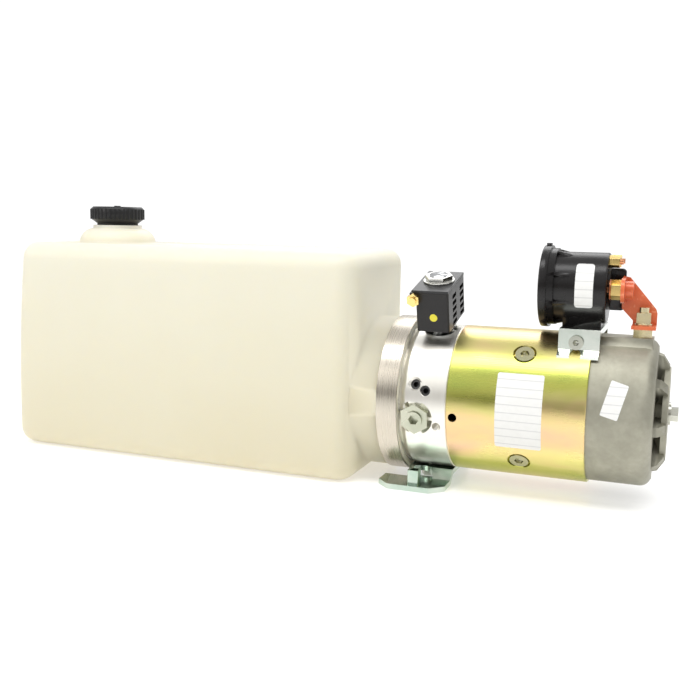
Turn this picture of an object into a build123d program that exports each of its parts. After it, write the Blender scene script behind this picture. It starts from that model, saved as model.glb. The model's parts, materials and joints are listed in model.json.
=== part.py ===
from build123d import *
from math import acos, cos, pi, radians, sin, tan
import os

# Hydraulic power unit: plastic tank, gear pump in the tank, round manifold with a solenoid valve,
# direct-current motor and start contactor.  Millimetres.  X runs along the shaft from the tank to the
# motor, Y to the back, Z up.  The origin is the centre of the two foot bolts on the mounting plane.

os.makedirs("parts", exist_ok=True)

# ---------------------------------------------------------------- driving sizes
axis_height = 66.0          # shaft axis above the mounting plane
body_r = 57.0               # manifold and motor shell
running = 0.03              # radial clearance of a shaft in its bearing
sliding = 0.1               # radial clearance of a plunger or poppet in its bore
loose = 0.3                 # clearance of parts that pass each other freely

manifold_start = -12.0      # tank side of the manifold's full diameter
manifold_length = 37.0
manifold_chamfer = 5.0
spigot_length = 14.0
neck_bore_r = 55.7
neck_wall = 5.1
seal_cord_r = 1.6

tank_length = 325.0
tank_end_lean = 9.0         # top of the rounded left end, in from its foot
tank_width = 132.0
tank_height = 180.3
tank_wall = 4.0
tank_corner_r = 18.0
tank_edge_r = 14.0
neck_length = 34.7
filler_from_end = 68.3
filler_neck_r = 21.5
filler_bore_r = 14.0
filler_flare_r = 34.0
filler_neck_height = 15.7
cap_r = 23.4
cap_height = 15.0
cap_plug_length = 10.0
gasket_thickness = 1.5

band_width = 16.1
band_thickness = 1.4
band_gap = 12.0
band_bolt_r = 3.0

shaft_r = 7.5
tang_r = 6.0
bearing_r = 16.0
bearing_width = 9.0
seal_r = 13.0
seal_width = 7.0
coupling_r = 11.5

gear_teeth = 10
gear_centres = 26.0         # distance between the two pump shafts
gear_tip_r = 14.9
gear_root_r = 10.6
gear_width = 14.0
gear_backlash = 0.3
bush_length = 7.0
pump_front_wall = 4.0
pump_half_width = 24.0
pump_above_axis = 24.0
cover_thickness = 8.0
pump_screw_r = 3.0
pump_screw_y = 17.0
pump_screw_levels = (17.0, -43.0)
pump_screw_head_r = 5.0
pump_screw_head = 6.0
pump_screw_socket = 5.0
pump_screw_reach = 12.0     # thread in the manifold
suction_r = 8.0
suction_wall = 1.5
suction_length = 30.0
suction_seat = 6.0          # length of the tube held in the pump cover
strainer_r = 16.0
strainer_length = 50.0
strainer_wall = 2.0
strainer_lap = 8.0          # strainer pushed over the tube

shell_length = 101.0
shell_wall = 5.0
pole_tilt = 4.0             # poles stand 45 degrees each side of the horizontal, turned by this
pole_screw_at = 53.5        # from the manifold to the pole screws
pole_screw_r = 4.0
pole_head_r = 7.0
pole_recess_r = 8.5
pole_recess_depth = 3.2
pole_head = 2.8
pole_thread = 9.0           # screw in the pole shoe
shoe_length = 70.0
shoe_inner_r = 37.0
rotor_gap = 0.8
core_length = 62.0
winding_overhang = 7.0
commutator_r = 19.0
commutator_length = 20.0
rear_cap_r = 55.0
rear_cap_length = 45.0
rear_wall = 5.0
rear_edge_r = 8.0
hub_disc_r = 35.0
hub_height = 9.0
hub_disc_thickness = 4.0
hub_ribs = 8
hub_rib_turn = 7.0          # first rib, up from the back
hub_rib_thickness = 7.0
through_bolt_r = 2.5
through_bolt_circle = 46.0
thread_reach = 10.0         # a through bolt's thread in the manifold
through_bolt_head = 3.5

valve_x = 8.2               # valve axis from the origin along the shaft
valve_tilt = 15.0           # valve leans to the front
valve_seat = 55.5           # spot face under the valve, from the shaft axis
valve_hex = 22.0
valve_hex_height = 7.0
coil_width = 25.4
coil_depth = 48.6
coil_height = 30.6
coil_plate = 2.0
stem_r = 7.0

contactor_height = 91.0     # contactor axis above the shaft axis
contactor_r = 26.5
contactor_flange_r = 31.0
contactor_body_length = 37.5
contactor_cover_length = 10.8
contactor_wall = 4.5
contact_stroke = 2.4
stud_spread = 12.5          # each main stud from the contactor's middle plane
main_stud_r = 4.0
main_nut = 13.0

foot_thickness = 4.0
foot_spacing = 100.0        # between the two foot bolts
foot_front = 59.0           # front and rear edges of the foot from its middle
foot_left = 29.0
foot_right = 24.0
foot_corner = 10.0
foot_thread_r = 3.4
weld_nut = 8.6
weld_nut_height = 11.0
foot_pad_half = 25.0
foot_screw_r = 4.0
foot_screw_spread = 12.0

label_film = 0.15

# ---------------------------------------------------------------- worked-out places
manifold_end = manifold_start + manifold_length
spigot_face = manifold_start - spigot_length
neck_end = manifold_start - loose
tank_right = neck_end - neck_length
tank_left = tank_right - tank_length
filler_x = tank_left + filler_from_end
neck_r = neck_bore_r + neck_wall
shell_end = manifold_end + shell_length
cap_end = shell_end + rear_cap_length
hub_face = cap_end + hub_height
pump_face = spigot_face - pump_front_wall
gears_front = pump_face - bush_length
gears_back = gears_front - gear_width
cavity_end = gears_back - bush_length
cover_face = cavity_end - cover_thickness
pole_x = manifold_end + pole_screw_at
pole_angles = [45 + pole_tilt + 90 * quarter for quarter in range(4)]
through_bolt_angles = (90 + pole_tilt, 270 + pole_tilt)
shell_bore_r = body_r - shell_wall
core_r = shoe_inner_r - rotor_gap

shaft_axis = Axis((0, 0, axis_height), (1, 0, 0))
side = Plane(origin=(0, 0, axis_height), x_dir=(1, 0, 0), z_dir=(0, -1, 0))


# ---------------------------------------------------------------- helpers
def across(x, y=0.0, z=0.0):
    """Plane square to the shaft at x; y and z are measured from the shaft axis."""
    return Plane(origin=(x, y, axis_height + z), x_dir=(0, 1, 0), z_dir=(1, 0, 0))


def upright(x, y, z):
    """Level plane at height z above the shaft axis."""
    return Plane(origin=(x, y, axis_height + z), x_dir=(1, 0, 0), z_dir=(0, 0, 1))


def outward(x, angle, radius):
    """Plane facing out of the round body; angle climbs from the front to the top."""
    lean = radians(angle)
    point = (x, -radius * cos(lean), axis_height + radius * sin(lean))
    return Plane(origin=point, x_dir=(1, 0, 0), z_dir=(0, -cos(lean), sin(lean)))


def rod(plane, radius, length, mode=Mode.ADD):
    """Cylinder standing on a plane."""
    with Locations(plane):
        Cylinder(radius, length, align=(Align.CENTER, Align.CENTER, Align.MIN), mode=mode)


def hexagon(plane, flats, length, turn=0.0, mode=Mode.ADD):
    """Hexagonal prism standing on a plane, sized across its flats."""
    with BuildSketch(plane) as section:
        RegularPolygon(flats / 2, 6, major_radius=False, rotation=turn)
    extrude(section.sketch, amount=length, mode=mode)


def block(x0, x1, y0, y1, z0, z1, mode=Mode.ADD):
    """Box between two corners; z is measured from the shaft axis."""
    with Locations((x0, y0, axis_height + z0)):
        Box(x1 - x0, y1 - y0, z1 - z0, align=(Align.MIN, Align.MIN, Align.MIN), mode=mode)


def turned(*stations, mode=Mode.ADD):
    """Solid of revolution about the shaft axis through (x, radius) corners."""
    with BuildSketch(side) as section:
        with BuildLine():
            Polyline(*stations, close=True)
        make_face()
    revolve(section.sketch, axis=shaft_axis, mode=mode)


def sector(x0, length, inner, outer, middle, half, mode=Mode.ADD):
    """Piece of a tube about the shaft, from middle - half to middle + half degrees."""
    with BuildSketch(across(x0)) as section:
        with BuildLine():
            outside = CenterArc((0, 0), outer, 180 - middle - half, 2 * half)
            inside = CenterArc((0, 0), inner, 180 - middle - half, 2 * half)
            Line(outside @ 0, inside @ 0)
            Line(outside @ 1, inside @ 1)
        make_face()
    extrude(section.sketch, amount=length, mode=mode)


def wire_spring(plane, mean_r, wire_r, length, turns):
    """Round-wire compression spring standing on a plane, with its ends inside the length."""
    rise = length - 2 * wire_r
    with BuildLine() as path:
        Helix(rise / turns, rise, mean_r, center=plane.offset(wire_r).origin, direction=plane.z_dir)
    with BuildSketch(Plane(origin=path.line @ 0, z_dir=path.line % 0)) as wire:
        Circle(wire_r)
    sweep(wire.sketch, path=path.line, is_frenet=True)


def through_bolt_plane(x, angle):
    """Plane square to the shaft at one of the motor's through bolts."""
    return across(x, -through_bolt_circle * cos(radians(angle)), through_bolt_circle * sin(radians(angle)))


def save(piece, name):
    """Label one finished node and write its file."""
    piece.part.label = name
    export_step(piece.part, f"parts/{name}.step")


# ---------------------------------------------------------------- tank
def tank_body(shrink, mode=Mode.ADD):
    """Rounded block of the tank, pulled in on every side by shrink."""
    left = tank_left + shrink
    top = tank_height - shrink
    back_face = Plane(origin=(0, tank_width / 2 - shrink, 0), x_dir=(1, 0, 0), z_dir=(0, -1, 0))
    with BuildSketch(back_face) as profile:
        with BuildLine():
            ThreePointArc((left, shrink), (left + tank_end_lean / 8, tank_height / 2),
                          (left + tank_end_lean, top))
            Polyline((left + tank_end_lean, top), (tank_right - shrink, top), (tank_right - shrink, shrink),
                     (left, shrink))
        make_face()
    solid = extrude(profile.sketch, amount=tank_width - 2 * shrink, mode=Mode.PRIVATE)
    posts = [edge for edge in solid.edges() if edge.length > tank_height / 2 and
             abs((edge @ 0).Z - (edge @ 1).Z) > tank_height / 2]
    solid = solid.fillet(tank_corner_r - shrink, posts)
    rims = solid.edges().group_by(Axis.Z)[0] + solid.edges().group_by(Axis.Z)[-1]
    add(solid.fillet(tank_edge_r - shrink, rims), mode=mode)


filler_top = tank_height + filler_neck_height
flare_height = filler_neck_height - 2.7
filler_plane = Plane(origin=(filler_x, 0, 0), x_dir=(1, 0, 0), z_dir=(0, -1, 0))
filler_axis = Axis((filler_x, 0, 0), (0, 0, 1))

with BuildPart() as tank_shell:
    tank_body(0)
    rod(across(tank_right - tank_wall), neck_r, neck_length + tank_wall)
    with BuildSketch(filler_plane) as neck_section:
        with BuildLine():
            Polyline((0, tank_height - tank_wall), (filler_flare_r, tank_height - tank_wall),
                     (filler_flare_r, tank_height))
            RadiusArc((filler_flare_r, tank_height), (filler_neck_r, tank_height + flare_height),
                      -1.15 * flare_height)
            Polyline((filler_neck_r, tank_height + flare_height), (filler_neck_r, filler_top),
                     (0, filler_top), (0, tank_height - tank_wall))
        make_face()
    revolve(neck_section.sketch, axis=filler_axis)
    tank_body(tank_wall, mode=Mode.SUBTRACT)
    rod(across(tank_right - 2 * tank_wall), neck_bore_r, neck_length + 3 * tank_wall, mode=Mode.SUBTRACT)
    with Locations((filler_x, 0, tank_height - 2 * tank_wall)):
        Cylinder(filler_bore_r, filler_neck_height + 3 * tank_wall,
                 align=(Align.CENTER, Align.CENTER, Align.MIN), mode=Mode.SUBTRACT)
save(tank_shell, "tank_shell")

# filler cap: plug, seat flange, cone and grip, turned about the filler axis
cap_seat = filler_top + gasket_thickness
cap_top = cap_seat + cap_height
plug_r = filler_bore_r - loose
seat_r = filler_neck_r - 3.5
with BuildPart() as filler_cap:
    with BuildSketch(filler_plane) as cap_section:
        with BuildLine():
            Polyline((0, cap_seat - cap_plug_length), (plug_r, cap_seat - cap_plug_length), (plug_r, cap_seat),
                     (seat_r, cap_seat), (cap_r, cap_seat + 4), (cap_r, cap_top - 2), (cap_r - 2, cap_top),
                     (3, cap_top), (3, cap_top + 1), (0, cap_top + 1), close=True)
        make_face()
    revolve(cap_section.sketch, axis=filler_axis)
    with Locations((filler_x, 0, cap_seat - cap_plug_length)):
        Cylinder(plug_r - 2.5, cap_plug_length, align=(Align.CENTER, Align.CENTER, Align.MIN),
                 mode=Mode.SUBTRACT)
save(filler_cap, "filler_cap")

with BuildPart() as cap_gasket:
    with BuildSketch(Plane(origin=(filler_x, 0, filler_top))) as gasket_section:
        Circle(seat_r)
        Circle(filler_bore_r, mode=Mode.SUBTRACT)
    extrude(gasket_section.sketch, amount=gasket_thickness)
save(cap_gasket, "cap_gasket")

# ---------------------------------------------------------------- manifold cavities
# each front cavity is (x, angle up from the front, cavity radius, thread radius)
plug_place = (1.0, -9.5)
relief_place = (8.3, 12.3)
gauge_place = (0.0, 16.9)
tap_place = (17.5, -15.0)
check_bore_r = 6.0
check_floor = 24.0
poppet_base = 4.0           # solid end of the hollow check poppet
check_seat_r = 3.5
plug_thread_r = 8.0
plug_seat = 55.6
plug_depth = 13.0
plug_hex = 20.5
plug_hex_height = 4.0
plug_boss_r = 6.4
plug_boss_height = 1.6
plug_socket = 6.8
plug_spring_room = 5.0      # hollow in the plug that holds the spring's end
spot_face_r = 13.5          # spot faces under the plug and the valve
poppet_seat_depth = 6.0     # small bore behind a valve seat
set_screw_r = 4.0
set_screw_length = 9.0
relief_floor = 26.0
relief_seat_r = 2.0
relief_recess = 2.6
gauge_recess = 3.4
tap_r = 3.3
tap_depth = 12.0
seal_start = 8.5
coupling_bore_r = coupling_r + 1.0
groove_x = spigot_face + 4.0
groove_width = 2 * seal_cord_r + 0.6
spigot_r = neck_bore_r - loose
groove_floor = neck_bore_r - sliding / 2 - 2 * seal_cord_r
port_x = 6.0
port_spread = 15.0
port_face = 53.0
port_r = 6.4
port_depth = 14.0
valve_angle = 90 - valve_tilt
valve_bore_r = 9.0
valve_floor = 28.0
foot_flat = 55.0
pressure_way_z = -20.0

with BuildPart() as manifold:
    turned((spigot_face, 0), (spigot_face, spigot_r), (manifold_start, spigot_r),
           (manifold_start, body_r - 3), (manifold_start + manifold_chamfer, body_r),
           (manifold_end - 0.8, body_r), (manifold_end, body_r - 0.8), (manifold_end, 0))
    # groove for the tank seal
    turned((groove_x, groove_floor), (groove_x, body_r), (groove_x + groove_width, body_r),
           (groove_x + groove_width, groove_floor), mode=Mode.SUBTRACT)
    # shaft bore: coupling room, seal pocket, bearing pocket
    turned((spigot_face, 0), (spigot_face, coupling_bore_r), (seal_start, coupling_bore_r),
           (seal_start, seal_r), (seal_start + seal_width, seal_r),
           (seal_start + seal_width, shaft_r + 1.5), (manifold_end - bearing_width, shaft_r + 1.5),
           (manifold_end - bearing_width, bearing_r), (manifold_end, bearing_r), (manifold_end, 0),
           mode=Mode.SUBTRACT)
    # check valve cavity behind the hexagon plug
    rod(outward(*plug_place, plug_seat), spot_face_r, 10, mode=Mode.SUBTRACT)
    rod(outward(*plug_place, plug_seat - plug_depth), plug_thread_r, 20, mode=Mode.SUBTRACT)
    rod(outward(*plug_place, check_floor), check_bore_r, 30, mode=Mode.SUBTRACT)
    rod(outward(*plug_place, check_floor - poppet_seat_depth), check_seat_r, 10, mode=Mode.SUBTRACT)
    # relief valve cavity and gauge port, each closed by a set screw
    rod(outward(*relief_place, relief_floor), set_screw_r, 40, mode=Mode.SUBTRACT)
    rod(outward(*relief_place, relief_floor - poppet_seat_depth), relief_seat_r, 10, mode=Mode.SUBTRACT)
    rod(outward(*gauge_place, body_r - gauge_recess - set_screw_length), set_screw_r, 40, mode=Mode.SUBTRACT)
    rod(outward(*gauge_place, body_r - 1.2), 5.2, 10, mode=Mode.SUBTRACT)
    rod(outward(*tap_place, body_r - tap_depth), tap_r, 20, mode=Mode.SUBTRACT)
    # pressure way from the pump to the check valve
    rod(across(spigot_face, 0, pressure_way_z), 3.0, 14, mode=Mode.SUBTRACT)
    # two ports at the back
    for way in (1, -1):
        port_plane = Plane(origin=(port_x, port_face, axis_height + way * port_spread),
                           x_dir=(1, 0, 0), z_dir=(0, 1, 0))
        rod(port_plane, 11.0, 10, mode=Mode.SUBTRACT)
        rod(port_plane.offset(-port_depth), port_r, 20, mode=Mode.SUBTRACT)
    # valve cavity with its spot face
    rod(outward(valve_x, valve_angle, valve_seat), spot_face_r, 10, mode=Mode.SUBTRACT)
    rod(outward(valve_x, valve_angle, valve_floor), valve_bore_r, 40, mode=Mode.SUBTRACT)
    # flat and tapped holes for the foot
    block(manifold_start - 1, manifold_end + 1, -body_r, body_r, -body_r - 1, -foot_flat, mode=Mode.SUBTRACT)
    for way in (1, -1):
        rod(upright(3, way * foot_screw_spread, -foot_flat - 1), foot_screw_r, 14, mode=Mode.SUBTRACT)
    # tapped holes for the motor's through bolts and for the pump screws
    for angle in through_bolt_angles:
        rod(through_bolt_plane(manifold_end - thread_reach, angle), through_bolt_r, thread_reach,
            mode=Mode.SUBTRACT)
    for y in (-pump_screw_y, pump_screw_y):
        for z in pump_screw_levels:
            rod(across(spigot_face, y, z), pump_screw_r, pump_screw_reach, mode=Mode.SUBTRACT)
save(manifold, "manifold")

with BuildPart() as tank_seal:
    with BuildSketch(side) as cord:
        with Locations((groove_x + groove_width / 2, groove_floor + seal_cord_r)):
            Circle(seal_cord_r)
    revolve(cord.sketch, axis=shaft_axis)
save(tank_seal, "tank_seal")

# hexagon plug with round boss and internal hexagon; it closes the check valve cavity
with BuildPart() as port_plug:
    rod(outward(*plug_place, plug_seat - plug_depth), plug_thread_r, plug_depth)
    hexagon(outward(*plug_place, plug_seat), plug_hex, plug_hex_height, turn=30)
    rod(outward(*plug_place, plug_seat + plug_hex_height), plug_boss_r, plug_boss_height)
    hexagon(outward(*plug_place, plug_seat + 1.0), plug_socket, 10, mode=Mode.SUBTRACT)
    rod(outward(*plug_place, plug_seat - plug_depth), 4.5, plug_spring_room, mode=Mode.SUBTRACT)
save(port_plug, "port_plug")

poppet_length = 10.0
with BuildPart() as check_poppet:
    rod(outward(*plug_place, check_floor), check_bore_r - sliding, poppet_length)
    rod(outward(*plug_place, check_floor + poppet_base), 4.9, poppet_length, mode=Mode.SUBTRACT)
save(check_poppet, "check_poppet")

check_spring_start = check_floor + poppet_base
with BuildPart() as check_spring:
    wire_spring(outward(*plug_place, check_spring_start), 3.7, 0.6,
                plug_seat - plug_depth + plug_spring_room - check_spring_start, 5)
save(check_spring, "check_spring")

relief_length = 7.0
relief_screw_at = body_r - relief_recess - set_screw_length
with BuildPart() as relief_poppet:
    rod(outward(*relief_place, relief_floor), set_screw_r - sliding, relief_length)
save(relief_poppet, "relief_poppet")

with BuildPart() as relief_spring:
    wire_spring(outward(*relief_place, relief_floor + relief_length), 2.9, 0.6,
                relief_screw_at - relief_floor - relief_length, 6)
save(relief_spring, "relief_spring")

with BuildPart() as set_screws:
    for place, recess in ((relief_place, relief_recess), (gauge_place, gauge_recess)):
        rod(outward(*place, body_r - recess - set_screw_length), set_screw_r, set_screw_length)
        hexagon(outward(*place, body_r - recess - 6), 4.0, 7, mode=Mode.SUBTRACT)
save(set_screws, "set_screws")

# ---------------------------------------------------------------- gear pump
pump_bottom = -gear_centres - pump_half_width
cavity_r = gear_tip_r + sliding
shaft_levels = (0.0, -gear_centres)
pump_screw_places = [(y, z) for y in (-pump_screw_y, pump_screw_y) for z in pump_screw_levels]


def pump_outline(x0, length):
    """Rounded block of the pump, with its four screw holes."""
    with BuildSketch(across(x0, 0, (pump_above_axis + pump_bottom) / 2)) as outline:
        RectangleRounded(2 * pump_half_width, pump_above_axis - pump_bottom, 8)
    extrude(outline.sketch, amount=length)
    for y, z in pump_screw_places:
        rod(across(x0, y, z), pump_screw_r, length, mode=Mode.SUBTRACT)


def tooth_outline(middle):
    """Corner points of one involute tooth about the gear's centre."""
    pitch_r = gear_centres / 2
    base_r = pitch_r * cos(radians(20))

    def roll(radius):
        return tan(acos(base_r / radius)) - acos(base_r / radius)

    half = (pi * pitch_r / gear_teeth - gear_backlash) / (2 * pitch_r)
    flank = [base_r + (gear_tip_r - base_r) * step / 4 for step in range(5)]
    angles = [half + roll(pitch_r) - roll(radius) for radius in flank]
    rising = [(gear_root_r, -angles[0])] + [(r, -a) for r, a in zip(flank, angles)]
    falling = [(r, a) for r, a in zip(reversed(flank), reversed(angles))] + [(gear_root_r, angles[0])]
    return [(r * cos(middle + a), r * sin(middle + a)) for r, a in rising + falling]


def gear(level, turn):
    """Spur gear of the pump on the shaft at that level, its first tooth turned by turn degrees."""
    corners = []
    for tooth in range(gear_teeth):
        corners += tooth_outline(radians(turn) + 2 * pi * tooth / gear_teeth)
    with BuildSketch(across(gears_back + running, 0, level)) as wheel:
        with BuildLine():
            Polyline(*corners, close=True)
        make_face()
    extrude(wheel.sketch, amount=gear_width - 2 * running)


with BuildPart() as pump_body:
    pump_outline(cavity_end, spigot_face - cavity_end)
    for level in shaft_levels:
        rod(across(cavity_end, 0, level), cavity_r, pump_face - cavity_end, mode=Mode.SUBTRACT)
    rod(across(pump_face, 0, 0), tang_r + 0.5, pump_front_wall, mode=Mode.SUBTRACT)
save(pump_body, "pump_body")

with BuildPart() as pump_cover:
    pump_outline(cover_face, cover_thickness)
    rod(across(cover_face, 0, -gear_centres), suction_r, suction_seat, mode=Mode.SUBTRACT)
save(pump_cover, "pump_cover")

with BuildPart() as pump_bushes:
    for start in (cavity_end, gears_front):
        for level in shaft_levels:
            rod(across(start, 0, level), cavity_r - loose / 10, bush_length)
        for level in shaft_levels:
            rod(across(start, 0, level), tang_r + running, bush_length, mode=Mode.SUBTRACT)
save(pump_bushes, "pump_bushes")

with BuildPart() as drive_gear:
    gear(0.0, -90)
    rod(across(cavity_end + loose), tang_r, -4.0 - cavity_end - loose)
save(drive_gear, "drive_gear")

with BuildPart() as driven_gear:
    gear(-gear_centres, 90 + 180 / gear_teeth)
    rod(across(cavity_end + loose, 0, -gear_centres), tang_r, pump_face - cavity_end - 2 * loose)
save(driven_gear, "driven_gear")

with BuildPart() as pump_screws:
    for y, z in pump_screw_places:
        rod(across(cover_face, y, z), pump_screw_r, spigot_face + pump_screw_reach - cover_face)
        rod(across(cover_face - pump_screw_head, y, z), pump_screw_head_r, pump_screw_head)
        hexagon(across(cover_face - pump_screw_head, y, z), pump_screw_socket, pump_screw_head / 2,
                mode=Mode.SUBTRACT)
save(pump_screws, "pump_screws")

suction_end = cover_face + suction_seat - suction_length
strainer_end = suction_end + strainer_lap
with BuildPart() as suction_strainer:
    rod(across(suction_end, 0, -gear_centres), suction_r, suction_length)
    rod(across(strainer_end - strainer_length, 0, -gear_centres), strainer_r, strainer_length)
    rod(across(strainer_end - strainer_length + strainer_wall, 0, -gear_centres), strainer_r - strainer_wall,
        strainer_length - 2 * strainer_wall, mode=Mode.SUBTRACT)
    rod(across(suction_end, 0, -gear_centres), suction_r - suction_wall, suction_length, mode=Mode.SUBTRACT)
save(suction_strainer, "suction_strainer")

# ---------------------------------------------------------------- shaft line
coupling_start = spigot_face + 14
coupling_end = seal_start - 2.5
shaft_end = cap_end + 4
with BuildPart() as motor_shaft:
    rod(across(coupling_end), shaft_r, shaft_end - coupling_end)
    rod(across(-2), tang_r, coupling_end + 2)
save(motor_shaft, "motor_shaft")

with BuildPart() as shaft_coupling:
    rod(across(coupling_start), coupling_r, coupling_end - coupling_start)
    rod(across(coupling_start), tang_r, coupling_end - coupling_start, mode=Mode.SUBTRACT)
    fillet(shaft_coupling.edges().filter_by(GeomType.CIRCLE).group_by(SortBy.RADIUS)[-1], 1)
save(shaft_coupling, "shaft_coupling")

with BuildPart() as shaft_seal:
    rod(across(seal_start), seal_r, seal_width)
    rod(across(seal_start), shaft_r + running, seal_width, mode=Mode.SUBTRACT)
    turned((seal_start, shaft_r), (seal_start, shaft_r + 3.5), (seal_start + 3.5, shaft_r + 3.5),
           (seal_start + 5, shaft_r), mode=Mode.SUBTRACT)
save(shaft_seal, "shaft_seal")

rear_bearing_at = cap_end - rear_wall
rear_bore_r = rear_cap_r - rear_wall
with BuildPart() as bearings:
    for start in (manifold_end - bearing_width, rear_bearing_at):
        rod(across(start), bearing_r, bearing_width)
        rod(across(start), shaft_r + running, bearing_width, mode=Mode.SUBTRACT)
        for face in (start, start + bearing_width - 1):
            turned((face, 10.5), (face, 13), (face + 1, 13), (face + 1, 10.5), mode=Mode.SUBTRACT)
save(bearings, "bearings")

# ---------------------------------------------------------------- motor
core_start = manifold_end + 21
commutator_start = shell_end - 4
winding_r = core_r - 1.0
armature_slots = 18
with BuildPart() as armature:
    rod(across(core_start), core_r, core_length)
    rod(across(core_start - winding_overhang), winding_r, core_length + 2 * winding_overhang)
    rod(across(core_start - winding_overhang), shaft_r, core_length + 2 * winding_overhang, mode=Mode.SUBTRACT)
    for slot in range(armature_slots):
        mouth = outward(core_start, 360 * slot / armature_slots, core_r).origin
        with Locations(Plane(origin=mouth, z_dir=(1, 0, 0))):
            Cylinder(1.6, core_length, align=(Align.CENTER, Align.CENTER, Align.MIN), mode=Mode.SUBTRACT)
save(armature, "armature")

with BuildPart() as commutator:
    rod(across(commutator_start), commutator_r, commutator_length)
    rod(across(commutator_start), commutator_r + 3, 3)
    rod(across(commutator_start), shaft_r, commutator_length, mode=Mode.SUBTRACT)
    for slot in range(armature_slots):
        gap = outward(commutator_start + 3, 360 * slot / armature_slots, commutator_r - 0.6)
        with Locations(gap):
            Box(commutator_length, 0.8, 4, align=(Align.MIN, Align.CENTER, Align.MIN), mode=Mode.SUBTRACT)
save(commutator, "commutator")

with BuildPart() as motor_shell:
    turned((manifold_end, shell_bore_r), (manifold_end, body_r - 0.6), (manifold_end + 0.6, body_r),
           (shell_end - 0.6, body_r), (shell_end, body_r - 0.6), (shell_end, shell_bore_r))
    for angle in pole_angles:
        rod(outward(pole_x, angle, body_r - pole_recess_depth), pole_recess_r, 10, mode=Mode.SUBTRACT)
        rod(outward(pole_x, angle, shell_bore_r - 3), pole_screw_r, 15, mode=Mode.SUBTRACT)
    rod(outward(manifold_end + 5, -6.3, shell_bore_r - 3), tap_r, 15, mode=Mode.SUBTRACT)
save(motor_shell, "motor_shell")

shoe_start = pole_x - shoe_length / 2
with BuildPart() as pole_shoes:
    for angle in pole_angles:
        sector(shoe_start, shoe_length, shoe_inner_r + 5, shell_bore_r, angle, 18)
        sector(shoe_start, shoe_length, shoe_inner_r, shoe_inner_r + 5, angle, 32)
        rod(outward(pole_x, angle, shell_bore_r - pole_thread), pole_screw_r, 12, mode=Mode.SUBTRACT)
save(pole_shoes, "pole_shoes")

with BuildPart() as field_coils:
    for angle in pole_angles:
        sector(shoe_start - 6, shoe_length + 12, shoe_inner_r + 5.5, shell_bore_r - 0.5, angle, 31)
        sector(shoe_start - 0.5, shoe_length + 1, shoe_inner_r + 3, shell_bore_r + 1, angle, 19,
               mode=Mode.SUBTRACT)
save(field_coils, "field_coils")

with BuildPart() as pole_screws:
    for angle in pole_angles:
        rod(outward(pole_x, angle, shell_bore_r - pole_thread), pole_screw_r,
            pole_thread + shell_wall - pole_recess_depth)
        rod(outward(pole_x, angle, body_r - pole_recess_depth), pole_head_r, pole_head)
        hexagon(outward(pole_x, angle, body_r - pole_recess_depth + 0.4), 6.0, 6, mode=Mode.SUBTRACT)
save(pole_screws, "pole_screws")

# brush gear inside the rear cap
brush_length = 14.0
brush_size = 12.0
brush_thickness = 8.0
brush_middle = commutator_start + 11
holder_at = commutator_start + commutator_length + 1
with BuildPart() as brushes:
    for quarter in range(4):
        with BuildSketch(outward(brush_middle, 90 * quarter, commutator_r + running)) as brush:
            Rectangle(brush_size, brush_thickness)
        extrude(brush.sketch, amount=brush_length)
save(brushes, "brushes")

holder_metal = 2.0
box_length = holder_at - brush_middle + brush_size / 2 + holder_metal
with BuildPart() as brush_holder:
    turned((holder_at, commutator_r + 3), (holder_at, rear_bore_r), (holder_at + 3, rear_bore_r),
           (holder_at + 3, commutator_r + 3))
    for quarter in range(4):
        holder_plane = outward(holder_at - box_length, 90 * quarter, commutator_r + 5)
        with BuildSketch(holder_plane) as box_section:
            Rectangle(box_length, brush_thickness + 2 * holder_metal, align=(Align.MIN, Align.CENTER))
            with Locations((holder_metal - sliding, 0)):
                Rectangle(brush_size + 2 * sliding, brush_thickness + 2 * sliding,
                          align=(Align.MIN, Align.CENTER), mode=Mode.SUBTRACT)
        extrude(box_section.sketch, amount=brush_length + 2)
    for angle in through_bolt_angles:
        rod(through_bolt_plane(holder_at - 1, angle), through_bolt_r + 1.0, 5, mode=Mode.SUBTRACT)
save(brush_holder, "brush_holder")

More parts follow.
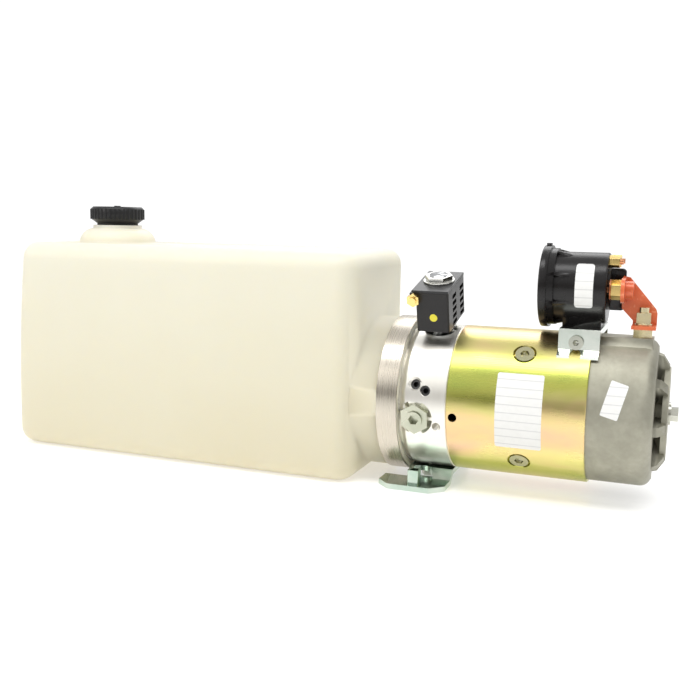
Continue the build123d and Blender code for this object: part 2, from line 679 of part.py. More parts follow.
rib_start_r = 18.0
hub_post_r = 21.0
stud_y = -11.5
stud_x = shell_end + 33.0
stud_r = 3.5
stud_length = 33.0
stud_inside = 9.0           # stud and sleeve below the outside of the end shield
sleeve_r = 4.5
terminal_pad = 57.2
with BuildPart() as rear_cap:
    turned((shell_end, 0), (shell_end, rear_cap_r), (cap_end, rear_cap_r), (cap_end, 0))
    fillet(rear_cap.edges().filter_by(GeomType.CIRCLE).sort_by(Axis.X)[-1], rear_edge_r)
    rod(across(shell_end - 4), shell_bore_r - sliding, 5)
    # open ribbed hub on the end wall
    rod(across(cap_end), hub_post_r, hub_height)
    rod(across(hub_face - hub_disc_thickness), hub_disc_r, hub_disc_thickness)
    for rib in range(hub_ribs):
        lean = radians(hub_rib_turn + 360 * rib / hub_ribs)
        rib_plane = Plane(origin=(0, 0, axis_height), x_dir=(0, cos(lean), sin(lean)),
                          z_dir=(0, -sin(lean), cos(lean)))
        with BuildSketch(rib_plane) as rib_section:
            with BuildLine():
                reach = rear_cap_r - rear_edge_r - 1
                corners = [(rib_start_r, cap_end - 1), (reach, cap_end - 1), (reach - 1.5, cap_end + 3.5),
                           (hub_disc_r + 2, hub_face - 0.8), (rib_start_r, hub_face - 0.8)]
                Polyline(*[(r, -x) for r, x in corners], close=True)
            make_face()
        extrude(rib_section.sketch, amount=hub_rib_thickness / 2, both=True)
    # terminal pad on top
    block(shell_end + 3, stud_x + 8, stud_y - 10, stud_y + 12, rear_cap_r - 8, terminal_pad)
    # hollow, bearing pocket, bolt holes
    rod(across(shell_end - 4), rear_cap_r - 5, rear_cap_length - rear_wall + 4, mode=Mode.SUBTRACT)
    rod(across(rear_bearing_at), bearing_r, bearing_width, mode=Mode.SUBTRACT)
    rod(across(rear_bearing_at + bearing_width), 5.0, 10, mode=Mode.SUBTRACT)
    for angle in through_bolt_angles:
        rod(through_bolt_plane(shell_end - 5, angle), through_bolt_r + 0.2, rear_cap_length + 5,
            mode=Mode.SUBTRACT)
        rod(through_bolt_plane(cap_end - through_bolt_head, angle), 5.3, 2 * through_bolt_head,
            mode=Mode.SUBTRACT)
    rod(upright(stud_x, stud_y, rear_cap_r - 12), sleeve_r, 20, mode=Mode.SUBTRACT)
save(rear_cap, "rear_cap")

with BuildPart() as through_bolts:
    for angle in through_bolt_angles:
        rod(through_bolt_plane(manifold_end - thread_reach, angle), through_bolt_r,
            cap_end - through_bolt_head - manifold_end + thread_reach)
        hexagon(through_bolt_plane(cap_end - through_bolt_head, angle), 8.0, through_bolt_head)
save(through_bolts, "through_bolts")

end_washer = 1.8
end_washer_r = 8.5
end_hex = 10.0
end_hex_height = 5.2
with BuildPart() as end_bolt:
    rod(across(rear_bearing_at + bearing_width), 5.0, hub_face - rear_bearing_at - bearing_width)
    rod(across(hub_face), end_washer_r, end_washer)
    hexagon(across(hub_face + end_washer), end_hex, end_hex_height)
save(end_bolt, "end_bolt")

# ---------------------------------------------------------------- solenoid valve
valve = outward(valve_x, valve_angle, 0)
valve_collar = 1.0
coil_base = valve_seat + valve_hex_height + valve_collar
coil_top = coil_base + coil_height
plate_top = coil_top + coil_plate
coil_nut_flange = 1.5
coil_nut_height = 3.5
coil_nut_hex = 19.0
valve_collar_r = 12.0
stem_top = plate_top + coil_nut_flange + coil_nut_height + 0.6
plunger_start = 70.0
plunger_length = 16.0
plunger_r = 5.6
pin_r = 3.0
valve_spring_length = 10.0
bore_top = plunger_start + plunger_length + valve_spring_length
with BuildPart() as valve_cartridge:
    rod(valve.offset(valve_floor), valve_bore_r, valve_seat - valve_floor)
    hexagon(valve.offset(valve_seat), valve_hex, valve_hex_height, turn=30)
    rod(valve.offset(valve_seat + valve_hex_height), valve_collar_r, valve_collar)
    rod(valve.offset(coil_base), stem_r, stem_top - coil_base)
    rod(valve.offset(valve_floor), pin_r + sliding, plunger_start - valve_floor, mode=Mode.SUBTRACT)
    rod(valve.offset(plunger_start - 1), plunger_r + sliding, bore_top - plunger_start + 1, mode=Mode.SUBTRACT)
save(valve_cartridge, "valve_cartridge")

with BuildPart() as valve_plunger:
    rod(valve.offset(plunger_start), plunger_r, plunger_length)
    rod(valve.offset(valve_floor + 4), pin_r, plunger_start - valve_floor - 4)
save(valve_plunger, "valve_plunger")

with BuildPart() as valve_spring:
    wire_spring(valve.offset(plunger_start + plunger_length), 4.2, 0.6, valve_spring_length, 5)
save(valve_spring, "valve_spring")

coil_shift = 0.7
grille_columns = (-6.5, 15.5)
grille_rows = 5
grille_pitch = 5.2
grille_slot = (11.0, 3.2)   # width and height of one slot
grille_depth = 2.0
coil_cheek = 3.0             # housing above and below the winding
winding_outer_r = 10.5
with BuildPart() as coil_housing:
    with BuildSketch(valve.offset(coil_base)) as coil_section:
        with Locations((coil_shift, 0)):
            Rectangle(coil_width, coil_depth)
    extrude(coil_section.sketch, amount=coil_height)
    chamfer(coil_housing.edges().filter_by(lambda edge: abs(edge.length - coil_height) < 0.1), 1.2)
    # terminal lug on the tank side
    with BuildSketch(valve.offset(coil_top - 9)) as lug_section:
        with Locations((coil_shift - coil_width / 2 - 2.4, -coil_depth / 2 + 7)):
            Rectangle(5, 12)
    extrude(lug_section.sketch, amount=8.5)
    rod(valve.offset(coil_base), stem_r, coil_height, mode=Mode.SUBTRACT)
    rod(valve.offset(coil_base + coil_cheek), winding_outer_r, coil_height - 2 * coil_cheek,
        mode=Mode.SUBTRACT)
    # cooling slots in the motor side
    slot_origin = valve.offset(coil_base + coil_cheek).from_local_coords((coil_shift + coil_width / 2, 0, 0))
    slot_face = Plane(origin=slot_origin, x_dir=valve.y_dir, z_dir=valve.x_dir)
    with BuildSketch(slot_face) as slots:
        for column in grille_columns:
            for row in range(grille_rows):
                with Locations((column, grille_pitch * row)):
                    Rectangle(*grille_slot)
    extrude(slots.sketch, amount=-grille_depth, mode=Mode.SUBTRACT)
save(coil_housing, "coil_housing")

with BuildPart() as coil_winding:
    rod(valve.offset(coil_base + coil_cheek), winding_outer_r, coil_height - 2 * coil_cheek)
    rod(valve.offset(coil_base + coil_cheek), stem_r, coil_height - 2 * coil_cheek, mode=Mode.SUBTRACT)
save(coil_winding, "coil_winding")

with BuildPart() as coil_top_plate:
    with BuildSketch(valve.offset(coil_top)) as plate_section:
        with Locations((coil_shift - 1.5, 0)):
            Rectangle(coil_width + 3, coil_depth)
        Circle(stem_r, mode=Mode.SUBTRACT)
    extrude(plate_section.sketch, amount=coil_plate)
save(coil_top_plate, "coil_top_plate")

with BuildPart() as coil_nut:
    rod(valve.offset(plate_top), valve_collar_r, coil_nut_flange)
    hexagon(valve.offset(plate_top + coil_nut_flange), coil_nut_hex, coil_nut_height)
    rod(valve.offset(plate_top), stem_r, 20, mode=Mode.SUBTRACT)
save(coil_nut, "coil_nut")

lug_level = valve.offset(coil_top - 4.75)
lug_middle = lug_level.from_local_coords((coil_shift - coil_width / 2 - 1.0, -coil_depth / 2, 0))
terminal_plane = Plane(origin=lug_middle, x_dir=(1, 0, 0), z_dir=-valve.y_dir)
with BuildPart() as coil_terminal:
    hexagon(terminal_plane, 9.0, 4.5, turn=30)
    rod(terminal_plane.offset(4.5), 3.0, 2.2)
save(coil_terminal, "coil_terminal")

# ---------------------------------------------------------------- contactor on its bracket
contactor_start = shell_end - 41.8
case_start = contactor_start + contactor_cover_length
case_end = case_start + contactor_body_length
pole_face = case_end - contactor_wall
bracket_start = case_start + 6.5
bracket_width = 29.5
bracket_metal = 2.5
saddle_half = 30.4
saddle_top = body_r + 0.6 + bracket_metal
bracket_top = saddle_top + bracket_metal
bracket_half = saddle_half + bracket_metal
small_stud_up = 20.3
small_stud_spread = 8.0
barrier_y = -1.6
barrier_thickness = 6.0
barrier_reach = 13.0


def contactor_plane(x, y=0.0, z=0.0):
    """Plane square to the contactor's axis; y and z are measured from that axis."""
    return across(x, y, contactor_height + z)


with BuildPart() as contactor_case:
    rod(contactor_plane(case_start), contactor_r, contactor_body_length)
    fillet(contactor_case.edges().filter_by(GeomType.CIRCLE).sort_by(Axis.X)[-1], 1.5)
    # gussets behind the flange
    for gusset in range(8):
        lean = radians(45 * gusset + 22.5)
        gusset_plane = Plane(origin=(0, 0, axis_height + contactor_height), x_dir=(0, cos(lean), sin(lean)),
                             z_dir=(0, -sin(lean), cos(lean)))
        with BuildSketch(gusset_plane) as gusset_section:
            with BuildLine():
                Polyline((contactor_r - 2, -case_start), (contactor_flange_r - 1.5, -case_start),
                         (contactor_r - 0.5, -case_start - 14), (contactor_r - 2, -case_start - 14), close=True)
            make_face()
        extrude(gusset_section.sketch, amount=1.3, both=True)
    # foot that stands on the bracket
    block(bracket_start, bracket_start + 28, -15, 15, bracket_top, contactor_height - contactor_r + 6)
    # terminal boss and the barrier between the studs
    rod(contactor_plane(case_end - 1), 16.0, 2.5)
    barrier_corner = contactor_plane(case_end - 1, barrier_y, -0.5).origin
    with BuildSketch(Plane(origin=barrier_corner, x_dir=(1, 0, 0), z_dir=(0, 1, 0))) as barrier_section:
        with Locations((barrier_reach / 2, 0)):
            RectangleRounded(barrier_reach, 31, 3)
    extrude(barrier_section.sketch, amount=barrier_thickness)
    rod(contactor_plane(case_start), contactor_r - contactor_wall, pole_face - case_start, mode=Mode.SUBTRACT)
    for way in (1, -1):
        rod(contactor_plane(pole_face, way * stud_spread), main_stud_r, 20, mode=Mode.SUBTRACT)
        rod(contactor_plane(pole_face, way * small_stud_spread, small_stud_up), 2.0, 20, mode=Mode.SUBTRACT)
        rod(upright(bracket_start + 14, way * 9, bracket_top), 2.0, 5, mode=Mode.SUBTRACT)
save(contactor_case, "contactor_case")

with BuildPart() as contactor_cover:
    rod(contactor_plane(contactor_start), contactor_flange_r, 6.0)
    rod(contactor_plane(contactor_start + 6), contactor_flange_r - 2, contactor_cover_length - 6)
    rod(contactor_plane(case_start), contactor_r - contactor_wall, 2.0)
    rod(contactor_plane(contactor_start + 3), contactor_r - contactor_wall - 2, contactor_cover_length,
        mode=Mode.SUBTRACT)
    fillet(contactor_cover.edges().filter_by(GeomType.CIRCLE).sort_by(Axis.X)[0], 1.2)
    # moulding nib on top of the flange
    block(contactor_start + 1.5, contactor_start + 5, -3, 3, contactor_height + contactor_flange_r - 1,
          contactor_height + contactor_flange_r + 1.6)
save(contactor_cover, "contactor_cover")

coil_bore_r = 9.0
contact_disc_r = 15.0
contact_thickness = 2.0
stud_head = 2.0
disc_start = pole_face - stud_head - 0.1 - contact_stroke - contact_thickness
with BuildPart() as contactor_coil:
    rod(contactor_plane(case_start + 2), contactor_r - contactor_wall, 19)
    rod(contactor_plane(case_start + 2), coil_bore_r, 19, mode=Mode.SUBTRACT)
    turned_coil = contactor_plane(case_start + 4)
    with BuildSketch(turned_coil) as winding_groove:
        Circle(contactor_r)
        Circle(contactor_r - contactor_wall - 3, mode=Mode.SUBTRACT)
    extrude(winding_groove.sketch, amount=15, mode=Mode.SUBTRACT)
save(contactor_coil, "contactor_coil")

with BuildPart() as contactor_plunger:
    rod(contactor_plane(case_start + 3), coil_bore_r - sliding, 15)
    rod(contactor_plane(case_start + 18), 3.0, disc_start - case_start - 18)
    rod(contactor_plane(disc_start), contact_disc_r, contact_thickness)
save(contactor_plunger, "contactor_plunger")

with BuildPart() as contactor_spring:
    wire_spring(contactor_plane(disc_start + contact_thickness), 4.0, 0.5,
                pole_face - disc_start - contact_thickness, 3)
save(contactor_spring, "contactor_spring")

stud_out = case_end + 16.5
nut_start = case_end + 2.6
main_nut_height = 7.6
with BuildPart() as contactor_studs:
    for way in (1, -1):
        rod(contactor_plane(pole_face - stud_head, way * stud_spread), 6.0, stud_head)
        rod(contactor_plane(pole_face, way * stud_spread), main_stud_r, stud_out - pole_face)
        rod(contactor_plane(case_end + 1.5, way * stud_spread), 7.6, nut_start - case_end - 1.5)
        rod(contactor_plane(pole_face, way * small_stud_spread, small_stud_up), 2.0, case_end + 10 - pole_face)
save(contactor_studs, "contactor_studs")

with BuildPart() as contactor_nuts:
    for way in (1, -1):
        hexagon(contactor_plane(nut_start, way * stud_spread), main_nut, main_nut_height, turn=30)
        rod(contactor_plane(nut_start, way * stud_spread), main_stud_r, 20, mode=Mode.SUBTRACT)
        hexagon(contactor_plane(case_end, way * small_stud_spread, small_stud_up), 8.0, 7.5, turn=30)
        rod(contactor_plane(case_end, way * small_stud_spread, small_stud_up), 2.0, 20, mode=Mode.SUBTRACT)
save(contactor_nuts, "contactor_nuts")

# bus bar: upright tab on the front stud, sloping web, level tab on the motor terminal
bar_metal = 2.6
bar_start = nut_start + main_nut_height
web_y = barrier_y - bar_metal - 0.2
hex_collar_height = 6.2
hex_collar = 13.0
terminal_washer = 1.4
terminal_washer_r = 6.0
terminal_hex = 10.0
terminal_hex_height = 8.0
tab_level = terminal_pad + hex_collar_height
bar_end = stud_x + 9
with BuildPart() as bus_bar:
    web_face = Plane(origin=(0, web_y + bar_metal, axis_height), x_dir=(1, 0, 0), z_dir=(0, -1, 0))
    with BuildSketch(web_face) as web:
        with BuildLine():
            Polyline((bar_start, contactor_height + 10), (bar_start + 5, contactor_height + 9),
                     (bar_end - 1, tab_level + 14), (bar_end, tab_level + 11), (bar_end, tab_level),
                     (stud_x - 8, tab_level), (stud_x - 8, tab_level + 5),
                     (bar_start, contactor_height - 14), close=True)
        make_face()
        fillet(web.vertices().filter_by(lambda corner: corner.X > bar_start + 1 and corner.Z > axis_height
                                        + tab_level + 4), 3)
    extrude(web.sketch, amount=bar_metal)
    with BuildSketch(contactor_plane(bar_start, -stud_spread)) as tab_section:
        SlotCenterToCenter(stud_spread, 18)
    tab = extrude(tab_section.sketch, amount=bar_metal, mode=Mode.PRIVATE)
    add(split(tab, bisect_by=Plane(origin=(0, web_y, 0), x_dir=(1, 0, 0), z_dir=(0, -1, 0)), keep=Keep.TOP,
              mode=Mode.PRIVATE))
    block(bar_start, bar_start + bar_metal, web_y - 3, web_y, contactor_height - 9, contactor_height + 9)
    rod(contactor_plane(bar_start + bar_metal, -stud_spread), 6.6, 5.6)
    block(stud_x - 8, bar_end, stud_y - 9, web_y + bar_metal, tab_level, tab_level + bar_metal)
    rod(contactor_plane(bar_start - 1, -stud_spread), main_stud_r, stud_out - bar_start + 1, mode=Mode.SUBTRACT)
    rod(upright(stud_x, stud_y, tab_level - 1), stud_r, 10, mode=Mode.SUBTRACT)
save(bus_bar, "bus_bar")

# motor terminal: stud with a hexagon collar on an insulating sleeve, washer and nut above the bar
with BuildPart() as motor_terminal:
    rod(upright(stud_x, stud_y, rear_cap_r - stud_inside), stud_r, stud_length)
    hexagon(upright(stud_x, stud_y, terminal_pad), hex_collar, hex_collar_height, turn=30)
save(motor_terminal, "motor_terminal")

with BuildPart() as terminal_insulator:
    rod(upright(stud_x, stud_y, rear_cap_r - stud_inside), sleeve_r, terminal_pad - rear_cap_r + stud_inside)
    rod(upright(stud_x, stud_y, rear_cap_r - stud_inside), stud_r, 20, mode=Mode.SUBTRACT)
save(terminal_insulator, "terminal_insulator")

with BuildPart() as terminal_nut:
    rod(upright(stud_x, stud_y, tab_level + bar_metal), terminal_washer_r, terminal_washer)
    hexagon(upright(stud_x, stud_y, tab_level + bar_metal + terminal_washer), terminal_hex,
            terminal_hex_height, turn=30)
    rod(upright(stud_x, stud_y, tab_level), stud_r, 20, mode=Mode.SUBTRACT)
save(terminal_nut, "terminal_nut")


def saddle_shape(half, top, metal):
    """Upside-down channel that straddles the motor shell and stands on it."""
    block(bracket_start, bracket_start + bracket_width, -half, half, 30, top)
    block(bracket_start, bracket_start + bracket_width, -half + metal, half - metal, 29, top - metal,
          mode=Mode.SUBTRACT)
    rod(across(bracket_start - 1), body_r, bracket_width + 2, mode=Mode.SUBTRACT)


bracket_screw_at = (bracket_start + 13, 53.0)
bracket_screw_r = 3.0
leg_flare = 6.5
with BuildPart() as contactor_saddle:
    saddle_shape(saddle_half, saddle_top, bracket_metal)
    with Locations(Plane(origin=(bracket_screw_at[0], 0, axis_height + bracket_screw_at[1]),
                         x_dir=(1, 0, 0), z_dir=(0, 1, 0))):
        Cylinder(bracket_screw_r, 2 * bracket_half, mode=Mode.SUBTRACT)
save(contactor_saddle, "contactor_saddle")

with BuildPart() as contactor_bracket:
    saddle_shape(bracket_half, bracket_top, bracket_metal)
    block(bracket_start - 1, bracket_start + bracket_width + 1, -bracket_half - 1, bracket_half + 1, 29, 46,
          mode=Mode.SUBTRACT)
    # the legs flare out along the shell, with a round notch under each screw
    for way in (1, -1):
        with BuildSketch(across(bracket_start)) as flare:
            with BuildLine():
                inner, outer = bracket_half - bracket_metal, bracket_half + leg_flare
                Polyline((way * inner, 45), (way * inner, 47.6), (way * bracket_half, 47.6),
                         (way * outer, 43.6), (way * (outer - 1.5), 38), close=True)
            make_face()
        extrude(flare.sketch, amount=bracket_width)
    rod(across(bracket_start - 1), body_r, bracket_width + 2, mode=Mode.SUBTRACT)
    with Locations(Plane(origin=(bracket_screw_at[0], 0, axis_height + 44), x_dir=(1, 0, 0), z_dir=(0, 1, 0))):
        Cylinder(4.0, 2 * (bracket_half + leg_flare + 1), mode=Mode.SUBTRACT)
    with Locations(Plane(origin=(bracket_screw_at[0], 0, axis_height + bracket_screw_at[1]),
                         x_dir=(1, 0, 0), z_dir=(0, 1, 0))):
        Cylinder(bracket_screw_r, 2 * bracket_half + 2, mode=Mode.SUBTRACT)
    for way in (1, -1):
        rod(upright(bracket_start + 14, way * 9, saddle_top), 2.0, 5, mode=Mode.SUBTRACT)
save(contactor_bracket, "contactor_bracket")

with BuildPart() as bracket_screws:
    for way in (1, -1):
        face = Plane(origin=(bracket_screw_at[0], way * bracket_half, axis_height + bracket_screw_at[1]),
                     x_dir=(1, 0, 0), z_dir=(0, way, 0))
        rod(face.offset(-2 * bracket_metal), bracket_screw_r, 2 * bracket_metal)
        rod(face, 5.2, 3.2)
        hexagon(face.offset(1.4), 4.0, 3, mode=Mode.SUBTRACT)
save(bracket_screws, "bracket_screws")

# ---------------------------------------------------------------- foot
pad_top = -foot_flat
flange_top = -axis_height + foot_thickness
with BuildPart() as foot_bracket:
    drop = pad_top - flange_top
    with BuildSketch(across(-foot_left)) as foot_section:
        with BuildLine():
            upper = [(0, pad_top), (foot_pad_half, pad_top), (foot_pad_half + drop, flange_top),
                     (foot_front, flange_top)]
            lower = [(foot_front, flange_top - foot_thickness), (foot_pad_half + drop - 1.7, -axis_height),
                     (foot_pad_half - 1.7, pad_top - foot_thickness), (0, pad_top - foot_thickness)]
            Polyline(*upper, *lower, close=True)
        make_face()
        mirror(about=Plane.YZ)
    extrude(foot_section.sketch, amount=foot_left + foot_right)
    # the pad and its risers stop under the manifold, clear of the band clamp
    block(-foot_left - 1, manifold_start + 1, -foot_front, foot_front, flange_top, pad_top + 1,
          mode=Mode.SUBTRACT)
    block(-foot_left - 1, manifold_start + 1, -foot_pad_half - drop, foot_pad_half + drop, -axis_height - 1,
          pad_top, mode=Mode.SUBTRACT)
    posts = foot_bracket.edges().filter_by(Axis.Z)
    chamfer(posts.filter_by(lambda edge: abs(edge.center().Y) > foot_front - 1), foot_corner)
    for way in (1, -1):
        # arch through the riser, then the welded nut on the flange
        rod(upright(0, way * 32, flange_top), 9.5, 12, mode=Mode.SUBTRACT)
        with BuildSketch(upright(0, way * foot_spacing / 2, flange_top)) as nut_section:
            RectangleRounded(weld_nut, weld_nut, 0.8)
        extrude(nut_section.sketch, amount=weld_nut_height)
        rod(upright(0, way * foot_spacing / 2, -axis_height), foot_thread_r, 20, mode=Mode.SUBTRACT)
        rod(upright(3, way * foot_screw_spread, -axis_height), foot_screw_r + 0.3, 12, mode=Mode.SUBTRACT)
save(foot_bracket, "foot_bracket")

with BuildPart() as foot_screws:
    for way in (1, -1):
        rod(upright(3, way * foot_screw_spread, pad_top - foot_thickness), foot_screw_r, foot_thickness + 12)
        hexagon(upright(3, way * foot_screw_spread, pad_top - foot_thickness - 5.0), 13.0, 5.0)
save(foot_screws, "foot_screws")

# ---------------------------------------------------------------- band clamp on the neck
band_end = manifold_start - loose
band_start = band_end - band_width
band_r = neck_r + band_thickness
lug_x = (band_start + 3, band_end - 3)
bolt_y = band_r + 6.0
with BuildPart() as clamp_band:
    rod(across(band_start), band_r, band_width)
    block(lug_x[0], lug_x[1], neck_r - 1, bolt_y + 5, -band_gap / 2 - 4, band_gap / 2 + 4)
    rod(across(band_start - 1), neck_r, band_width + 2, mode=Mode.SUBTRACT)
    block(band_start - 1, band_end + 1, 40, bolt_y + 10, -band_gap / 2, band_gap / 2, mode=Mode.SUBTRACT)
    rod(upright((band_start + band_end) / 2, bolt_y, -30), band_bolt_r, 60, mode=Mode.SUBTRACT)
save(clamp_band, "clamp_band")

with BuildPart() as clamp_bolt:
    bolt_foot = upright((band_start + band_end) / 2, bolt_y, -band_gap / 2 - 4)
    rod(bolt_foot, band_bolt_r, band_gap + 16)
    hexagon(bolt_foot.offset(-4), 9.0, 4)
    hexagon(bolt_foot.offset(band_gap + 8), 9.0, 5)
save(clamp_bolt, "clamp_bolt")

# ---------------------------------------------------------------- stuck-on labels, blank
motor_label_x = pole_x + 0.1
rear_label_x = shell_end + 18.5
rear_label_lean = radians(-15)
with BuildPart() as labels:
    with BuildSketch(Plane(origin=(motor_label_x, 0, axis_height + 2), x_dir=(1, 0, 0),
                           z_dir=(0, -1, 0))) as motor_label:
        RectangleRounded(33.8, 55, 1.5)
    patch = extrude(motor_label.sketch, amount=80, mode=Mode.PRIVATE)
    with BuildSketch(Plane(origin=(rear_label_x, 0, axis_height + 16), z_dir=(0, -1, 0),
                           x_dir=(cos(rear_label_lean), 0, sin(rear_label_lean)))) as rear_label:
        RectangleRounded(12.5, 25, 1.0)
    rear_patch = extrude(rear_label.sketch, amount=80, mode=Mode.PRIVATE)
    with BuildSketch(Plane(origin=(case_start + 22, 0, axis_height + contactor_height + 2.5), x_dir=(1, 0, 0),
                           z_dir=(0, -1, 0))) as contactor_label:
        RectangleRounded(13, 32, 2.0)
    contactor_patch = extrude(contactor_label.sketch, amount=80, mode=Mode.PRIVATE)
    for centre, radius, sheet in ((across(pole_x - 30), body_r, patch),
                                  (across(shell_end), rear_cap_r, rear_patch),
                                  (contactor_plane(case_start), contactor_r, contactor_patch)):
        with BuildSketch(centre) as skin:
            Circle(radius + label_film)
            Circle(radius, mode=Mode.SUBTRACT)
        film = extrude(skin.sketch, amount=60, mode=Mode.PRIVATE)
        add(film & sheet)
save(labels, "labels")
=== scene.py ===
import bpy
import bmesh
import json
from math import cos, radians, sin
from mathutils import Matrix, Vector

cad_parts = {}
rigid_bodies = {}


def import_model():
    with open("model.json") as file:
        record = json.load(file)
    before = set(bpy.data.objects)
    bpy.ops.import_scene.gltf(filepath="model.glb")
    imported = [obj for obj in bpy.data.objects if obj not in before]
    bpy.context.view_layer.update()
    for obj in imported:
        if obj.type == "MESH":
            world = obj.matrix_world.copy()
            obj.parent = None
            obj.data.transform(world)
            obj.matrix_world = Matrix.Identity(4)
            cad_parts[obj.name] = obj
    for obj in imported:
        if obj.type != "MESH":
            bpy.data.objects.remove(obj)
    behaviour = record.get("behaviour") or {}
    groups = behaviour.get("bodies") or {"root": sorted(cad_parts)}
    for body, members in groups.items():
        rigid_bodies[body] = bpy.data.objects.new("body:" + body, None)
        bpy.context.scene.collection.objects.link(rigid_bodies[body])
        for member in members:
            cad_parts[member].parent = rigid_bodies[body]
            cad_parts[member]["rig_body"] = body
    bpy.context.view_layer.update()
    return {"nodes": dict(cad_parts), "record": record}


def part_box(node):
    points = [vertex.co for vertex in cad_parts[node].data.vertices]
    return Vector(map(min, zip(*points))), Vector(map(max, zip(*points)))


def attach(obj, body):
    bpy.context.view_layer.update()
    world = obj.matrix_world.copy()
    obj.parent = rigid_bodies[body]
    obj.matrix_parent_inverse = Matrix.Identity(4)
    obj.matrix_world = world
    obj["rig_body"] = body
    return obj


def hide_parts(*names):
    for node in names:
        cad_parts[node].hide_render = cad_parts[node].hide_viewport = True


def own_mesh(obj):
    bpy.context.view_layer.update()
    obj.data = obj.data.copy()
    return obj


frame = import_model()
record = frame["record"]
slot_of = {part["node"]: part["material_slot"] for part in record["subparts"]}

# ---------------------------------------------------------------- places read from the frame
MM = 0.001
shell_low, shell_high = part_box("motor_shell")
shaft_z = (shell_high.z + shell_low.z) / 2
tank_low, tank_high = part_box("tank_shell")
cover_low, cover_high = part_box("contactor_cover")
contactor_z = (cover_low.z + cover_high.z) / 2


# ---------------------------------------------------------------- shader building
class Signal:
    """One shader socket that can be added, multiplied and mixed like a number."""

    def __init__(self, paint, socket):
        self.paint = paint
        self.socket = socket

    def maths(self, operation, first, second=None, clamp=False):
        values = {0: first}
        if second is not None:
            values[1] = second
        return self.paint.add("ShaderNodeMath", {"operation": operation, "use_clamp": clamp}, values)[0]

    def __add__(self, other):
        return self.maths("ADD", self, other)

    def __radd__(self, other):
        return self.maths("ADD", other, self)

    def __sub__(self, other):
        return self.maths("SUBTRACT", self, other)

    def __rsub__(self, other):
        return self.maths("SUBTRACT", other, self)

    def __mul__(self, other):
        return self.maths("MULTIPLY", self, other)

    def __rmul__(self, other):
        return self.maths("MULTIPLY", other, self)

    def above(self, level, softness):
        """0 below the level, 1 above it, with a soft step between."""
        return ((self - level) * (1 / softness) + 0.5).clamped()

    def clamped(self):
        return self.maths("ADD", self, 0.0, clamp=True)

    def wave(self):
        return self.maths("SINE", self)

    def or_more(self, other):
        return self.maths("MAXIMUM", self, other)

    def angle_to(self, other):
        return self.maths("ARCTAN2", self, other)


class Nodes:
    """A shader tree that is built by calls, starting empty."""

    def __init__(self, tree):
        self.tree = tree
        self.tree.nodes.clear()

    def add(self, kind, settings=None, sockets=None):
        """Adds a node: its settings first, then the values or links of its sockets."""
        node = self.tree.nodes.new(kind)
        for key, value in (settings or {}).items():
            if key == "stops":
                while len(node.color_ramp.elements) < len(value):
                    node.color_ramp.elements.new(0.5)
                for element, (position, colour) in zip(node.color_ramp.elements, value):
                    element.position = position
                    element.color = (*colour, 1.0)
            else:
                setattr(node, key, value)
        result = NodeOutputs(self, node)
        for key, value in (sockets or {}).items():
            self.feed(result.entry(key), value)
        return result

    def feed(self, socket, value):
        if isinstance(value, Signal):
            self.tree.links.new(value.socket, socket)
        elif isinstance(value, (tuple, list)) and socket.type == "RGBA":
            socket.default_value = (*value[:3], 1.0)
        else:
            socket.default_value = value

    def blend(self, amount, first, second):
        return self.add("ShaderNodeMix", {"data_type": "RGBA"}, {
            "Factor_Float": amount, "A_Color": first, "B_Color": second})["Result_Color"]

    def rise(self, value, start, end):
        """0 up to the start, 1 from the end, and an S-shaped rise between."""
        return self.add("ShaderNodeMapRange", {"interpolation_type": "SMOOTHSTEP"}, {
            "Value": value, "From Min": start, "From Max": end})["Result"]


class Paint(Nodes):
    """A material's node tree, with the surface's own position to hand in metres."""

    def __init__(self, name):
        self.material = bpy.data.materials.new(name)
        self.material.use_nodes = True
        super().__init__(self.material.node_tree)
        self.body = self.add("ShaderNodeBsdfPrincipled")
        self.add("ShaderNodeOutputMaterial", sockets={"Surface": self.body["BSDF"]})
        self.place = self.add("ShaderNodeTexCoord")["Object"]
        split = self.add("ShaderNodeSeparateXYZ", sockets={"Vector": self.place})
        self.x, self.y, self.z = split["X"], split["Y"], split["Z"]

    def noise(self, scale, detail=3.0, rough=0.5, where=None, distortion=0.0):
        return self.add("ShaderNodeTexNoise", sockets={
            "Vector": where or self.place, "Scale": scale, "Detail": detail, "Roughness": rough,
            "Distortion": distortion})["Fac"]

    def stretched(self, sx, sy, sz):
        """The surface's position scaled by its own factor along each axis."""
        return self.add("ShaderNodeCombineXYZ", sockets={
            "X": self.x * sx, "Y": self.y * sy, "Z": self.z * sz})["Vector"]

    def ramp(self, amount, stops):
        return self.add("ShaderNodeValToRGB", {"stops": stops}, {"Fac": amount})["Color"]

    def bump(self, height, distance, strength=1.0, under=None):
        sockets = {"Height": height, "Distance": distance, "Strength": strength}
        if under is not None:
            sockets["Normal"] = under
        return self.add("ShaderNodeBump", sockets=sockets)["Normal"]

    def finish(self, **sockets):
        """Sets the surface shader's sockets; an underscore stands for a space."""
        for key, value in sockets.items():
            self.feed(self.body.entry(key.replace("_", " ")), value)
        return self.material


class NodeOutputs:
    """A node's outputs as signals, found by identifier, name or number."""

    def __init__(self, paint, node):
        self.paint = paint
        self.node = node

    def find(self, sockets, key):
        if isinstance(key, int):
            return sockets[key]
        named = [s for s in sockets if s.identifier == key] or [s for s in sockets if s.name == key]
        return named[0]

    def entry(self, key):
        return self.find(self.node.inputs, key)

    def __getitem__(self, key):
        return Signal(self.paint, self.find(self.node.outputs, key))


